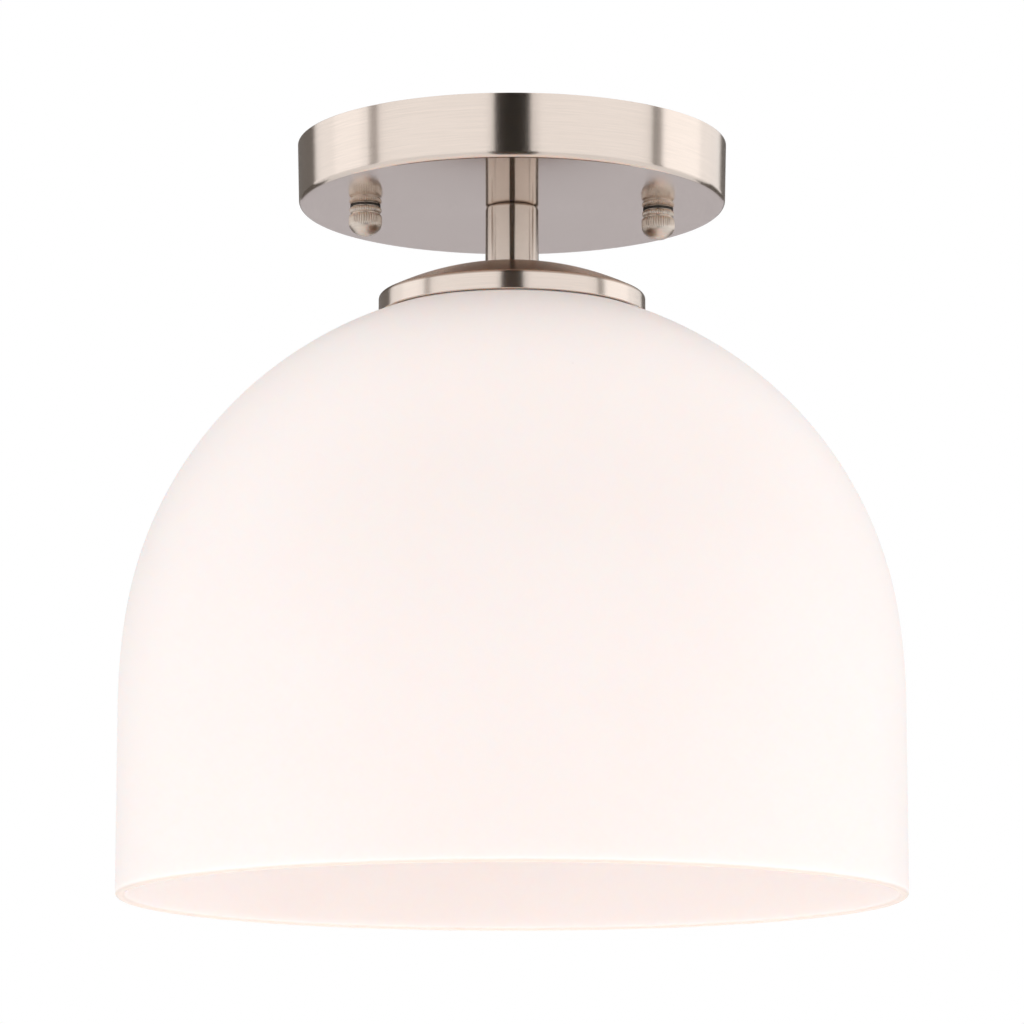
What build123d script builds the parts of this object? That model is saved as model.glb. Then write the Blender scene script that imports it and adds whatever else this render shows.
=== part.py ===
from build123d import *
import os
from math import acos, cos, degrees, pi, radians, sin, sqrt

# A semi-flush ceiling light: round canopy, short stem, domed shade holder and one opal glass
# bell shade. Millimetres. The ceiling is the plane z = 0 and the lamp hangs from it, along -Z.

os.makedirs("parts", exist_ok=True)

# --- canopy -------------------------------------------------------------------------------
canopy_radius = 70.5
canopy_draft = 0.5              # the drum is this much smaller at its underside
canopy_depth = 20.5
canopy_wall = 1.0
canopy_edge_radius = 1.8

# --- crossbar and the screws that hold the canopy ------------------------------------------
strap_length = 112.0
strap_width = 19.0
strap_thickness = 1.6
slot_width = 4.6                # passes a ceiling box screw
box_screws_near = 69.85         # 2 3/4 in between box screws
box_screws_far = 88.9           # 3 1/2 in
nut_spacing = 96.4              # between the canopy's two cap nuts
stud_radius = 2.05
stud_length = 26.0
stud_nut_flats = 8.7
stud_nut_height = 3.2
collar_radius = 3.4             # extruded, tapped collar under the strap
collar_height = 1.8
eyelet_radius = 6.5
eyelet_bore = 5.3
eyelet_lip = 8.2
ground_screw_x = -22.0
ground_screw_radius = 2.4

# --- cap nuts ------------------------------------------------------------------------------
nut_radius = 5.45
nut_height = 9.8
nut_neck = 4.95                 # radius of the base and of the groove
nut_bead_end = 2.5
nut_groove_end = 2.9
nut_barrel_end = 5.5
nut_washer = 0.4
nut_bore_depth = 7.0
knurls = 28
knurl_size = 0.48               # side of the square cutter, which cuts corner first

# --- stem and nipple -----------------------------------------------------------------------
pipe_radius = 5.15              # 1/8 in pipe thread, drawn plain
pipe_bore = 3.6
pipe_hole = 5.25                # clearance and tapped holes for it
nipple_top = -13.5
nipple_bottom = -48.0
pipe_nut_flats = 14.3
bushing_bore = 3.0              # the way in for the house wires
stem_radius = 8.75
stem_length = 20.2
stem_round = 0.8

# --- shade holder --------------------------------------------------------------------------
holder_radius = 43.7
holder_dome_radius = 94.0
holder_seat = 9.6               # flat under the stem
holder_band = 6.1
holder_wall = 1.2
holder_edge_radius = 1.2

# --- glass shade: three tangent arcs that run down into a straight skirt -----------------------
shade_radius = 127.0
shade_rim = -248.0
shade_equator = -186.3          # dome above, straight skirt below
haunch_radius = 203.0           # the flattest arc, next to the skirt
haunch_turn = 8.0               # degrees above level where it ends
side_radius = 124.9
side_turn = 56.0
crown_radius = 133.2
shade_wall = 3.1
shade_hole = 21.0               # 1 5/8 in fitter hole
shade_seat = 27.0               # ground flat round the hole
shade_rim_radius = 1.3

# --- lampholder ----------------------------------------------------------------------------
gasket_thickness = 1.0
hub_radius = 9.0
shoulder_radius = 25.0
shoulder_height = 3.0
barrel_radius = 19.2
socket_mouth = -92.0
socket_floor = -62.0
socket_pocket = 14.2
shell_radius = 13.9
shell_wall = 0.45
contact_width = 5.0
contact_thickness = 0.5
ring_clearance = 0.3
ring_flange_radius = 27.0
ring_flange = 2.5
ring_grip_radius = 23.6
ring_height = 10.0
grip_grooves = 20

# --- bulb: medium screw base, pear-shaped -----------------------------------------------------
bulb_base_radius = 13.1
bulb_tip = -65.2
bulb_base_end = -91.5
bulb_radius = 30.0
bulb_length = 108.0
bulb_neck = 13.2
bulb_flare = 45.0               # radius of the hollow curve from neck to globe
bulb_wall = 0.8

# --- heights that follow from the above --------------------------------------------------------
canopy_floor = -canopy_depth + canopy_wall
canopy_underside = -canopy_depth
fixture_strap_top = -strap_thickness
fixture_strap_bottom = -2 * strap_thickness
stud_x = nut_spacing / 2
stud_bottom = fixture_strap_top - stud_length
nut_top = canopy_underside - nut_washer
stem_bottom = canopy_underside - stem_length
dome_centre = stem_bottom - sqrt(holder_dome_radius**2 - holder_seat**2)
holder_inside = dome_centre + sqrt((holder_dome_radius - holder_wall) ** 2 - holder_seat**2)
band_top = dome_centre + sqrt(holder_dome_radius**2 - holder_radius**2)
holder_rim = band_top - holder_band


def from_centre(centre, radius, turn):
    """Point this far from a centre, turned up from level by degrees."""
    return (centre[0] + radius * cos(radians(turn)), centre[1] + radius * sin(radians(turn)))


def turned(*outline):
    """Closed outline of (radius, height) points, ready to revolve round the lamp's axis."""
    with BuildSketch(Plane.XZ) as profile:
        with BuildLine():
            Polyline(*outline, close=True)
        make_face()
    return profile.sketch


def tube(outer, inner, top, bottom):
    """Section of a plain ring."""
    return turned((inner, top), (outer, top), (outer, bottom), (inner, bottom))


def save(piece, name):
    piece.part.label = name
    export_step(piece.part, f"parts/{name}.step")


haunch_centre = (shade_radius - haunch_radius, shade_equator)
side_centre = from_centre(haunch_centre, haunch_radius - side_radius, haunch_turn)
crown_centre = from_centre(side_centre, side_radius - crown_radius, side_turn)
crown_turn = degrees(acos((shade_seat - crown_centre[0]) / crown_radius))
dome_arcs = (
    (haunch_centre, haunch_radius, 0.0, haunch_turn),
    (side_centre, side_radius, haunch_turn, side_turn),
    (crown_centre, crown_radius, side_turn, crown_turn),
)
seat_outside = from_centre(crown_centre, crown_radius, crown_turn)[1]
seat_inside = from_centre(crown_centre, crown_radius - shade_wall, crown_turn)[1]
shoulder_bottom = seat_outside + gasket_thickness
shoulder_top = shoulder_bottom + shoulder_height
ring_top = seat_inside - gasket_thickness
pipe_nut_height = 2.8
hub_top = holder_inside - pipe_nut_height
hub_bottom = shoulder_top - 2.2

# --- crossbar: two straps on one eyelet --------------------------------------------------------
slot_reach = (box_screws_far - box_screws_near) / 2 + slot_width
slot_y = (box_screws_far + box_screws_near) / 4

with BuildPart() as box_strap:
    with BuildSketch(Plane.XY.offset(-strap_thickness)):
        SlotOverall(strap_length, strap_width, rotation=90)
        Circle(eyelet_radius + 0.05, mode=Mode.SUBTRACT)
        with Locations((0, slot_y), (0, -slot_y)):
            SlotOverall(slot_reach, slot_width, rotation=90, mode=Mode.SUBTRACT)
    extrude(amount=strap_thickness)
    flare = turned(
        (0, 0),
        (eyelet_lip + 0.05, 0),
        (eyelet_radius + 0.05, -1.2),
        (0, -1.2),
    )
    revolve(flare, axis=Axis.Z, mode=Mode.SUBTRACT)
save(box_strap, "box_strap")

with BuildPart() as swivel_eyelet:
    lip_top = fixture_strap_bottom - 0.05
    revolve(
        turned(
            (eyelet_bore, 0),
            (eyelet_lip, 0),
            (eyelet_radius, -1.2),
            (eyelet_radius, lip_top),
            (eyelet_lip, lip_top),
            (eyelet_lip, lip_top - 0.9),
            (eyelet_bore, lip_top - 0.9),
        ),
        axis=Axis.Z,
    )
save(swivel_eyelet, "swivel_eyelet")

with BuildPart() as fixture_strap:
    with BuildSketch(Plane.XY.offset(fixture_strap_bottom)):
        SlotOverall(strap_length, strap_width)
        Circle(eyelet_radius + 0.05, mode=Mode.SUBTRACT)
    extrude(amount=strap_thickness)
    with BuildSketch(Plane.XY.offset(fixture_strap_bottom)):
        with Locations((stud_x, 0), (-stud_x, 0)):
            Circle(collar_radius)
    extrude(amount=-collar_height)
    collar_edges = faces().sort_by(Axis.Z)[0:2].edges().filter_by(GeomType.CIRCLE)
    fillet(collar_edges, 0.5)
    with Locations((stud_x, 0, 0), (-stud_x, 0, 0)):
        Hole(stud_radius + 0.05)
    with Locations((ground_screw_x, 0, 0)):
        Hole(ground_screw_radius + 0.05)
save(fixture_strap, "fixture_strap")

with BuildPart() as canopy_studs:
    with BuildSketch(Plane.XY.offset(stud_bottom)):
        with Locations((stud_x, 0), (-stud_x, 0)):
            Circle(stud_radius)
    extrude(amount=stud_length)
    chamfer(edges().filter_by(GeomType.CIRCLE), 0.35)
save(canopy_studs, "canopy_studs")

with BuildPart() as stud_lock_nuts:
    nut_face = fixture_strap_bottom - collar_height
    with BuildSketch(Plane.XY.offset(nut_face - stud_nut_height)):
        with Locations((stud_x, 0), (-stud_x, 0)):
            RegularPolygon(stud_nut_flats / 2, 6, major_radius=False)
            Circle(stud_radius + 0.05, mode=Mode.SUBTRACT)
    extrude(amount=stud_nut_height)
save(stud_lock_nuts, "stud_lock_nuts")

with BuildPart() as ground_cup_washer:
    with BuildSketch(Plane.XY.offset(fixture_strap_bottom - 1.0)):
        with Locations((ground_screw_x, 0)):
            RectangleRounded(12.0, 9.0, 1.5)
            Circle(ground_screw_radius + 0.05, mode=Mode.SUBTRACT)
    extrude(amount=1.0)
    with BuildSketch(Plane.XY.offset(fixture_strap_bottom - 2.4)):
        with Locations((ground_screw_x - 5.3, 0), (ground_screw_x + 5.3, 0)):
            Rectangle(1.1, 7.0)
    extrude(amount=1.4)
save(ground_cup_washer, "ground_cup_washer")

with BuildPart() as ground_screw:
    head_top = fixture_strap_bottom - 1.0
    with BuildSketch(Plane.XY.offset(head_top)):
        with Locations((ground_screw_x, 0)):
            Circle(ground_screw_radius)
    extrude(amount=strap_thickness + 0.9)
    with BuildSketch(Plane.XY.offset(head_top)):
        with Locations((ground_screw_x, 0)):
            RegularPolygon(3.8, 6, major_radius=False)
    extrude(amount=-3.0)
    with BuildSketch(Plane.XY.offset(head_top - 3.0)):
        with Locations((ground_screw_x, 0)):
            Rectangle(12.0, 1.2)
    extrude(amount=1.3, mode=Mode.SUBTRACT)
save(ground_screw, "ground_screw")

# --- canopy ------------------------------------------------------------------------------------
with BuildPart() as canopy:
    foot = canopy_radius - canopy_draft
    revolve(
        turned(
            (0, 0),
            (canopy_radius, 0),
            (foot, canopy_underside),
            (0, canopy_underside),
        ),
        axis=Axis.Z,
    )
    fillet(edges().group_by(Axis.Z)[0], canopy_edge_radius)
    offset(amount=-canopy_wall, openings=faces().sort_by(Axis.Z)[-1])
    with Locations((0, 0, 0)):
        Hole(pipe_hole)
    with Locations((stud_x, 0, 0), (-stud_x, 0, 0)):
        Hole(stud_radius + 0.35)
save(canopy, "canopy")

with BuildPart() as star_washer:
    teeth = 12
    with BuildSketch(Plane.XY.offset(canopy_floor)):
        Circle(7.3)
        with PolarLocations(7.6, teeth):
            Rectangle(2.4, 1.9, rotation=18)
        Circle(pipe_hole, mode=Mode.SUBTRACT)
    extrude(amount=0.7)
save(star_washer, "star_washer")


def pipe_nut(bottom, height):
    """Plain hexagon nut on the nipple, with its outer corners turned off."""
    with BuildPart() as nut:
        with BuildSketch(Plane.XY.offset(bottom)):
            RegularPolygon(pipe_nut_flats / 2, 6, major_radius=False)
            Circle(pipe_hole, mode=Mode.SUBTRACT)
        extrude(amount=height)
        corner = pipe_nut_flats / 2 / cos(pi / 6)
        cone = turned(
            (0, bottom - 0.4),
            (corner - 1.2, bottom - 0.2),
            (corner + 0.1, bottom + 0.75),
            (corner + 0.1, bottom + height - 0.75),
            (corner - 1.2, bottom + height + 0.2),
            (0, bottom + height + 0.4),
        )
        revolve(cone, axis=Axis.Z, mode=Mode.INTERSECT)
    return nut


canopy_lock_nut = pipe_nut(canopy_floor + 0.7, 3.0)
save(canopy_lock_nut, "canopy_lock_nut")

with BuildPart() as nipple:
    revolve(tube(pipe_radius, pipe_bore, nipple_top, nipple_bottom), axis=Axis.Z)
    chamfer(edges().group_by(Axis.Z)[0].sort_by(SortBy.RADIUS)[-1], 0.5)
save(nipple, "nipple")

with BuildPart() as wire_bushing:
    revolve(
        turned(
            (bushing_bore, nipple_top + 1.3),
            (4.4, nipple_top + 1.3),
            (5.2, nipple_top + 0.5),
            (5.2, nipple_top),
            (pipe_bore - 0.05, nipple_top),
            (pipe_bore - 0.05, nipple_top - 6.0),
            (bushing_bore, nipple_top - 6.0),
        ),
        axis=Axis.Z,
    )
save(wire_bushing, "wire_bushing")

with BuildPart() as stem:
    revolve(tube(stem_radius, pipe_hole, canopy_underside, stem_bottom), axis=Axis.Z)
    outer_edges = edges().filter_by(GeomType.CIRCLE).sort_by(SortBy.RADIUS)[-2:]
    fillet(outer_edges, stem_round)
save(stem, "stem")

# --- cap nuts and their washers ------------------------------------------------------------------
for side, x in (("left", -stud_x), ("right", stud_x)):
    axis = Axis((x, 0, 0), (0, 0, 1))
    with BuildPart() as cap_nut:
        with BuildSketch(Plane.XZ):
            with BuildLine():
                Polyline(
                    (x, nut_top),
                    (x + nut_neck, nut_top),
                    (x + nut_neck, nut_top - 0.2),
                    (x + nut_radius, nut_top - 0.7),
                    (x + nut_radius, nut_top - nut_bead_end + 0.5),
                    (x + nut_neck, nut_top - nut_bead_end),
                    (x + nut_neck, nut_top - nut_groove_end),
                    (x + nut_radius, nut_top - nut_groove_end - 0.5),
                    (x + nut_radius, nut_top - nut_barrel_end),
                )
                # the domed end: a quarter ellipse from the barrel to the axis
                EllipticalCenterArc(
                    (x, nut_top - nut_barrel_end),
                    nut_radius,
                    nut_height - nut_barrel_end,
                    start_angle=270,
                    arc_size=90,
                )
                Line((x, nut_top - nut_height), (x, nut_top))
            make_face()
        revolve(axis=axis)
        with BuildSketch(Plane.XY.offset(nut_top)):
            with Locations((x, 0)):
                with PolarLocations(nut_radius + 0.05, knurls):
                    Rectangle(knurl_size, knurl_size, rotation=45)
        extrude(amount=-nut_barrel_end + 0.2, mode=Mode.SUBTRACT)
        with BuildSketch(Plane.XY.offset(nut_top)):
            with Locations((x, 0)):
                Circle(stud_radius + 0.05)
        extrude(amount=-nut_bore_depth, mode=Mode.SUBTRACT)
    save(cap_nut, f"{side}_cap_nut")

    with BuildPart() as nut_washer_ring:
        with BuildSketch(Plane.XY.offset(nut_top)):
            with Locations((x, 0)):
                Circle(nut_neck)
                Circle(stud_radius + 0.1, mode=Mode.SUBTRACT)
        extrude(amount=nut_washer)
    save(nut_washer_ring, f"{side}_nut_washer")

# --- shade holder ----------------------------------------------------------------------------------
def holder_section(inset):
    """Half section of the holder's outside, moved in by a wall and run out past its rim."""
    dome = holder_dome_radius - inset
    edge = holder_radius - inset
    seat_z = dome_centre + sqrt(dome**2 - holder_seat**2)
    edge_z = dome_centre + sqrt(dome**2 - edge**2)
    middle = edge * 0.6
    rim_z = holder_rim - inset
    with BuildSketch(Plane.XZ) as section:
        with BuildLine():
            ThreePointArc(
                (holder_seat, seat_z),
                (middle, dome_centre + sqrt(dome**2 - middle**2)),
                (edge, edge_z),
            )
            Polyline((edge, edge_z), (edge, rim_z), (0, rim_z), (0, seat_z), (holder_seat, seat_z))
        make_face()
    return section.sketch


with BuildPart() as shade_holder:
    revolve(holder_section(0.0), axis=Axis.Z)
    fillet(faces().filter_by(GeomType.CYLINDER).edges().group_by(Axis.Z)[-1], holder_edge_radius)
    revolve(holder_section(holder_wall), axis=Axis.Z, mode=Mode.SUBTRACT)
    Hole(pipe_hole)
save(shade_holder, "shade_holder")

holder_lock_nut = pipe_nut(hub_top, pipe_nut_height)
save(holder_lock_nut, "holder_lock_nut")

# --- lampholder ------------------------------------------------------------------------------------
with BuildPart() as socket_hub:
    revolve(tube(hub_radius, pipe_hole, hub_top, hub_bottom), axis=Axis.Z)
    with BuildSketch(Plane.XZ.offset(hub_radius + 1)):
        with Locations((0, (hub_top + shoulder_top) / 2)):
            Circle(1.45)
    extrude(amount=-(hub_radius + 1 - pipe_bore), mode=Mode.SUBTRACT)
save(socket_hub, "socket_hub")

with BuildPart() as hub_set_screw:
    with BuildSketch(Plane.XZ.offset(hub_radius + 1.2)):
        with Locations((0, (hub_top + shoulder_top) / 2)):
            Circle(1.4)
    extrude(amount=-(hub_radius + 1.1 - pipe_radius))
save(hub_set_screw, "hub_set_screw")

with BuildPart() as socket_body:
    passage = 6.0
    revolve(
        turned(
            (hub_radius + 0.05, shoulder_top),
            (shoulder_radius, shoulder_top),
            (shoulder_radius, shoulder_bottom),
            (barrel_radius, shoulder_bottom),
            (barrel_radius, socket_mouth),
            (socket_pocket, socket_mouth),
            (socket_pocket, socket_floor),
            (0, socket_floor),
            (0, socket_floor + 4.5),
            (passage, socket_floor + 4.5),
            (passage, hub_bottom),
            (hub_radius + 0.05, hub_bottom),
        ),
        axis=Axis.Z,
    )
    mouth_edges = edges().group_by(Axis.Z)[0]
    fillet(mouth_edges, 0.8)
    fillet(edges().group_by(Axis.Z)[-1].sort_by(SortBy.RADIUS)[-1], 0.8)
    with Locations((-10.2, 0, socket_floor + 10), (5.0, 0, socket_floor + 10)):
        Hole(1.2, depth=11)
save(socket_body, "socket_body")

with BuildPart() as screw_shell:
    flange_hole = 8.0
    revolve(
        turned(
            (flange_hole, socket_floor),
            (shell_radius, socket_floor),
            (shell_radius, socket_mouth + 2.5),
            (shell_radius - shell_wall, socket_mouth + 2.5),
            (shell_radius - shell_wall, socket_floor - shell_wall),
            (flange_hole, socket_floor - shell_wall),
        ),
        axis=Axis.Z,
    )
    with Locations((-10.2, 0, socket_floor)):
        Hole(1.25)
save(screw_shell, "screw_shell")

with BuildPart() as centre_contact:
    with BuildSketch(Plane.XZ.offset(-contact_width / 2)):
        with BuildLine():
            spring = Polyline(
                (7.0, socket_floor),
                (2.6, socket_floor),
                (1.6, socket_floor - 2.5),
                (-2.4, socket_floor - 2.5),
                (-4.4, socket_floor - 1.4),
            )
            offset(spring, amount=contact_thickness, side=Side.LEFT)
        make_face()
    extrude(amount=contact_width)
    with Locations((5.0, 0, socket_floor)):
        Hole(1.25)
save(centre_contact, "centre_contact")

with BuildPart() as contact_rivets:
    for x in (-10.2, 5.0):
        with BuildSketch(Plane.XY.offset(socket_floor - contact_thickness)):
            with Locations((x, 0)):
                Circle(2.0)
        extrude(amount=-0.8)
        with BuildSketch(Plane.XY.offset(socket_floor - contact_thickness)):
            with Locations((x, 0)):
                Circle(1.15)
        extrude(amount=5.0)
save(contact_rivets, "contact_rivets")

with BuildPart() as upper_gasket:
    revolve(tube(shade_seat - 0.8, shade_hole, shoulder_bottom, seat_outside), axis=Axis.Z)
save(upper_gasket, "upper_gasket")

# --- glass shade -------------------------------------------------------------------------------------
with BuildPart() as glass_shade:
    with BuildSketch(Plane.XZ):
        with BuildLine():
            for inset, seat_z in ((0.0, seat_outside), (shade_wall, seat_inside)):
                for centre, radius, start, end in dome_arcs:
                    CenterArc(centre, radius - inset, start, end - start)
                edge = shade_radius - inset
                Line((edge, shade_equator), (edge, shade_rim))
                Line(from_centre(crown_centre, crown_radius - inset, crown_turn), (shade_hole, seat_z))
            Line((shade_hole, seat_outside), (shade_hole, seat_inside))
            Line((shade_radius, shade_rim), (shade_radius - shade_wall, shade_rim))
        make_face()
    revolve(axis=Axis.Z)
    fillet(edges().group_by(Axis.Z)[0], shade_rim_radius)
save(glass_shade, "glass_shade")

with BuildPart() as lower_washer:
    revolve(tube(shade_seat - 1.2, barrel_radius + 0.8, seat_inside, ring_top), axis=Axis.Z)
save(lower_washer, "lower_washer")

with BuildPart() as shade_ring:
    bore = barrel_radius + ring_clearance
    revolve(
        turned(
            (bore, ring_top),
            (ring_flange_radius, ring_top),
            (ring_flange_radius, ring_top - ring_flange),
            (ring_grip_radius, ring_top - ring_flange),
            (ring_grip_radius, ring_top - ring_height),
            (bore, ring_top - ring_height),
        ),
        axis=Axis.Z,
    )
    chamfer(edges().group_by(Axis.Z)[0].sort_by(SortBy.RADIUS)[-1], 0.8)
    with BuildSketch(Plane.XY.offset(ring_top - ring_height)):
        with PolarLocations(ring_grip_radius + 0.7, grip_grooves):
            Circle(1.6)
    extrude(amount=ring_height - ring_flange, mode=Mode.SUBTRACT)
save(shade_ring, "shade_ring")

# --- bulb --------------------------------------------------------------------------------------------
with BuildPart() as bulb_contact:
    revolve(
        turned(
            (0, bulb_tip),
            (2.4, bulb_tip),
            (4.4, bulb_tip - 0.9),
            (4.4, bulb_tip - 1.6),
            (0, bulb_tip - 1.6),
        ),
        axis=Axis.Z,
    )
save(bulb_contact, "bulb_contact")

insulator_top = bulb_tip - 1.6
insulator_bottom = bulb_tip - 4.0
base_taper = 10.6

with BuildPart() as bulb_insulator:
    revolve(
        turned(
            (0, insulator_top),
            (5.0, insulator_top),
            (base_taper - 0.55, insulator_bottom),
            (base_taper - 0.55, insulator_bottom - 1.5),
            (0, insulator_bottom - 1.5),
        ),
        axis=Axis.Z,
    )
save(bulb_insulator, "bulb_insulator")

with BuildPart() as bulb_base:
    revolve(
        turned(
            (base_taper - 0.5, insulator_bottom),
            (base_taper, insulator_bottom),
            (bulb_base_radius, insulator_bottom - 2.4),
            (bulb_base_radius, bulb_base_end),
            (bulb_base_radius - 0.5, bulb_base_end),
            (bulb_base_radius - 0.5, insulator_bottom - 2.6),
            (base_taper - 0.5, insulator_bottom - 0.6),
        ),
        axis=Axis.Z,
    )
save(bulb_base, "bulb_base")


def bulb_outline(inset):
    """Neck, hollow curve and globe of the bulb's glass, from the neck's end to the lowest point."""
    bottom = bulb_tip - bulb_length
    globe_z = bottom + bulb_radius
    neck = bulb_neck - inset
    flare = bulb_flare + inset
    globe = bulb_radius - inset
    reach = sqrt((globe + flare) ** 2 - (neck + flare) ** 2)
    touch = globe / (globe + flare)
    joint = ((neck + flare) * touch, globe_z + reach * touch)
    with BuildLine() as line:
        neck_line = Line((neck, bulb_base_end + 9.0), (neck, globe_z + reach))
        bend = TangentArc(neck_line @ 1, joint, tangent=(0, -1))
        TangentArc(bend @ 1, (0, globe_z - globe), tangent=bend % 1)
    return line.line


with BuildPart() as bulb_glass:
    with BuildSketch(Plane.XZ):
        with BuildLine():
            skin = add(bulb_outline(0.0))
            lining = add(bulb_outline(bulb_wall))
            Line((bulb_neck, bulb_base_end + 9.0), (bulb_neck - bulb_wall, bulb_base_end + 9.0))
            bulb_bottom = bulb_tip - bulb_length
            Line((0, bulb_bottom), (0, bulb_bottom + bulb_wall))
        make_face()
    revolve(axis=Axis.Z)
    with BuildSketch(Plane.XY.offset(bulb_base_end)):
        Circle(bulb_neck + 1.0)
        Circle(bulb_base_radius - 0.55, mode=Mode.SUBTRACT)
    extrude(amount=10.0, mode=Mode.SUBTRACT)
save(bulb_glass, "bulb_glass")
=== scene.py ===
from math import acos, asin, atan2, cos, degrees, hypot, pi, radians, sin, sqrt, tan, tau

import bmesh
import bpy
from mathutils import Matrix, Vector


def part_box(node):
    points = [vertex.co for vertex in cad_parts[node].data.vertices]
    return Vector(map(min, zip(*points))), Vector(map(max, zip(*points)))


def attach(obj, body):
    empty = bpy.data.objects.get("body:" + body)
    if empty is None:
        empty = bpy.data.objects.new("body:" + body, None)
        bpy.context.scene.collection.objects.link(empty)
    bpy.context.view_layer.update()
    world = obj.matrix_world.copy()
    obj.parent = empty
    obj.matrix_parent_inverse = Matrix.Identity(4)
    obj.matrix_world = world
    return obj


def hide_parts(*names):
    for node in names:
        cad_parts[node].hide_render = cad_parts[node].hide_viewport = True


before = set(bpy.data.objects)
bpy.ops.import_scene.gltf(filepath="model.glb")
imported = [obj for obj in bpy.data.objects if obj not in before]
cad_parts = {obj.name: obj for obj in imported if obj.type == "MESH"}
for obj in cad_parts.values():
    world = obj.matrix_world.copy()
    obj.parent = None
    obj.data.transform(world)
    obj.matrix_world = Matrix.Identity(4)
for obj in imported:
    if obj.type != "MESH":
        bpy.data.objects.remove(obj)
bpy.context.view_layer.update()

# A semi-flush ceiling light in satin nickel with one opal glass bell. Metres; the ceiling is
# the plane z = 0, the light hangs from it along -Z, and the viewer stands towards -Y.

mm = 0.001


def top_of(node):
    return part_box(node)[1][2]


def bottom_of(node):
    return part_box(node)[0][2]


def middle_of(node):
    """The x half way across a node."""
    low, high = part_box(node)
    return (low[0] + high[0]) / 2


def radius_of(node):
    low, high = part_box(node)
    return (high[0] - low[0]) / 2


# --- camera -------------------------------------------------------------------------------------
camera_lens = 165.29            # millimetres, on a sensor 36 mm wide
camera_reach = 1.5077           # from the lamp's axis
camera_height = -0.380
camera_turn = radians(3.0)      # round towards -X
camera_pitch = radians(9.711)   # tilted up


def set_camera():
    data = bpy.data.cameras.new("camera")
    data.lens = camera_lens
    data.sensor_width = 36.0
    data.clip_end = 60.0
    camera = bpy.data.objects.new("camera", data)
    bpy.context.scene.collection.objects.link(camera)
    across, along = sin(camera_turn), cos(camera_turn)
    camera.location = (-camera_reach * across, -camera_reach * along, camera_height)
    level = cos(camera_pitch)
    aim = Vector((across * level, along * level, sin(camera_pitch)))
    camera.rotation_euler = aim.to_track_quat("-Z", "Y").to_euler()
    bpy.context.scene.camera = camera


set_camera()


# --- paint: materials as expressions ------------------------------------------------------------
class Wire:
    """A value in a material that Python's operators work on."""

    def __init__(self, paint, socket):
        self.paint = paint
        self.socket = socket

    def math(self, operation, *values):
        inputs = dict(enumerate(values))
        return self.paint.node("ShaderNodeMath", {"operation": operation}, inputs)

    def __add__(self, other):
        return self.math("ADD", self, other)

    def __sub__(self, other):
        return self.math("SUBTRACT", self, other)

    def __mul__(self, other):
        return self.math("MULTIPLY", self, other)

    def __truediv__(self, other):
        return self.math("DIVIDE", self, other)

    def __pow__(self, other):
        return self.math("POWER", self, other)

    def __rsub__(self, other):
        return self.math("SUBTRACT", other, self)

    def __rtruediv__(self, other):
        return self.math("DIVIDE", other, self)

    def __gt__(self, other):
        return self.math("GREATER_THAN", self, other)

    def __lt__(self, other):
        return self.math("LESS_THAN", self, other)

    __radd__ = __add__
    __rmul__ = __mul__


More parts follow.
